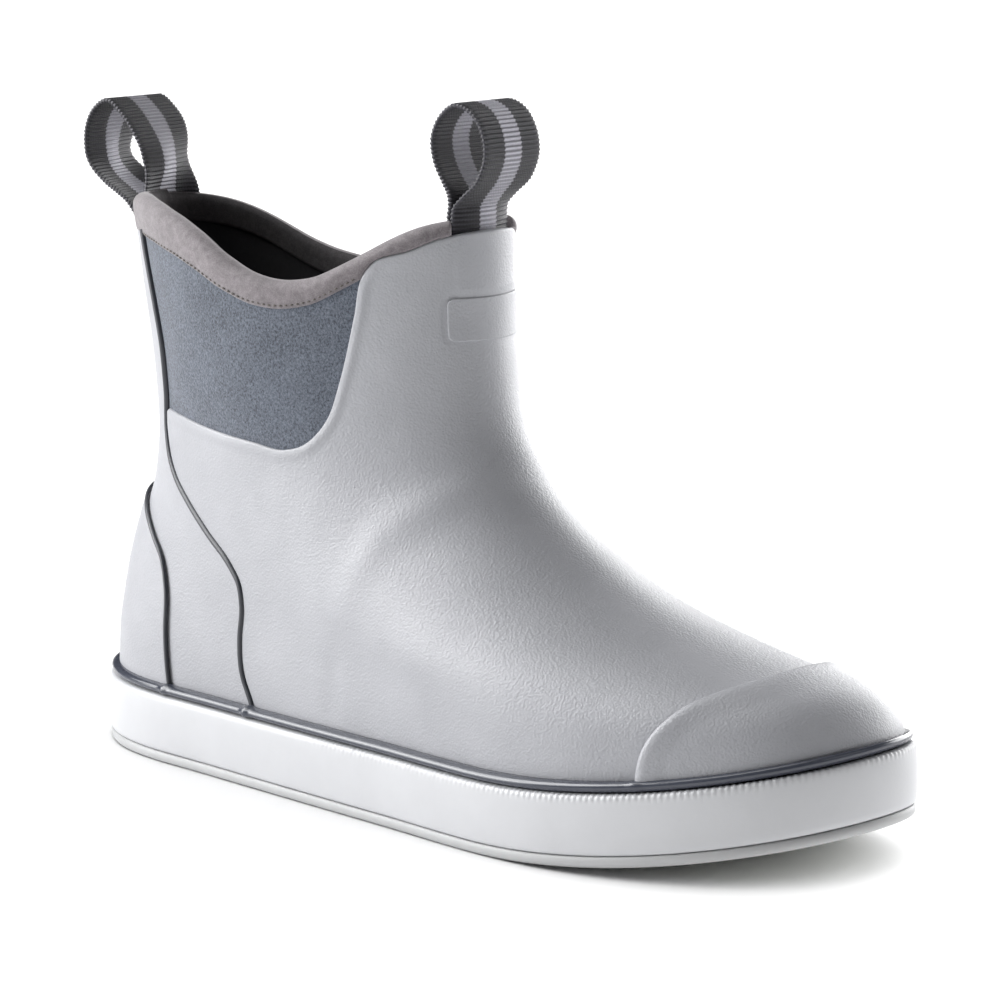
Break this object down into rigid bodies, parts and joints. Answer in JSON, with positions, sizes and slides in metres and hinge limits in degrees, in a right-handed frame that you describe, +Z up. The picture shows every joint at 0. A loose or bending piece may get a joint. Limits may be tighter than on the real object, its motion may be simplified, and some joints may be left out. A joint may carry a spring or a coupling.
{
  "type": "ankle deck boot",
  "caption": "Pull-on rubber ankle deck boot with stretch side gores, a bound collar, webbing pull loops front and back, a toe cap, a heel patch and a cupped deck sole.",
  "frame": {"origin": "on the ground under the flat waist of the sole, midway along the sole", "axes": "+X towards the toe, +Z up, +Y towards the inner (medial) side of this right boot"},
  "size_m": [0.3218, 0.1092, 0.2196],
  "materials": {
    "outsole_rubber": "matt, siped tread",
    "white_rubber": "satin, fine knurl along the top edge",
    "bead_rubber": "satin",
    "midsole_foam": "foamed rubber, hidden",
    "shank_steel": "plain, hidden",
    "board": "fibre board, hidden",
    "footbed_foam": "fabric-topped foam",
    "webbing": "ribbed grosgrain webbing with a paler middle stripe",
    "grey_rubber": "satin, fine pebbled grain",
    "piping_rubber": "satin",
    "dark_rubber": "satin",
    "gore_fabric": "heathered stretch knit over neoprene",
    "binding_fabric": "brushed stretch binding",
    "thread": "polyester thread",
    "lining_fabric": "fleece-faced neoprene"
  },
  "bodies": {
    "boot": {"outsole": "outsole_rubber", "foxing_band": "white_rubber", "foxing_bead": "bead_rubber", "midsole": "midsole_foam", "shank": "shank_steel", "insole_board": "board", "footbed": "footbed_foam", "front_loop_tail": "webbing", "back_loop_tail": "webbing", "front_shell": "grey_rubber", "back_shell": "grey_rubber", "toe_cap": "grey_rubber", "heel_counter_patch": "grey_rubber", "counter_piping": "piping_rubber", "seam_piping_lateral": "piping_rubber", "seam_piping_medial": "piping_rubber", "front_badge": "grey_rubber", "kick_tab": "dark_rubber", "gore_panel_lateral": "gore_fabric", "gore_panel_medial": "gore_fabric", "top_binding": "binding_fabric", "binding_stitching_lateral": "thread", "binding_stitching_medial": "thread", "lining": "lining_fabric", "heel_stiffener": "board", "toe_puff": "board"},
    "front_loop": {"front_pull_loop": "webbing"},
    "back_loop": {"back_pull_loop": "webbing"}
  },
  "joints": [
    {"name": "front_loop_fold", "type": "hinge", "parent": "boot", "child": "front_loop", "pos_m": [0.0025, 0, 0.1844], "axis": [0, 1, 0], "range_deg": [-40, 90], "stiffness_Nm_per_rad": 0.02},
    {"name": "back_loop_fold", "type": "hinge", "parent": "boot", "child": "back_loop", "pos_m": [-0.1434, 0, 0.1816], "axis": [0, 1, 0], "range_deg": [-85, 40], "stiffness_Nm_per_rad": 0.02}
  ]
}
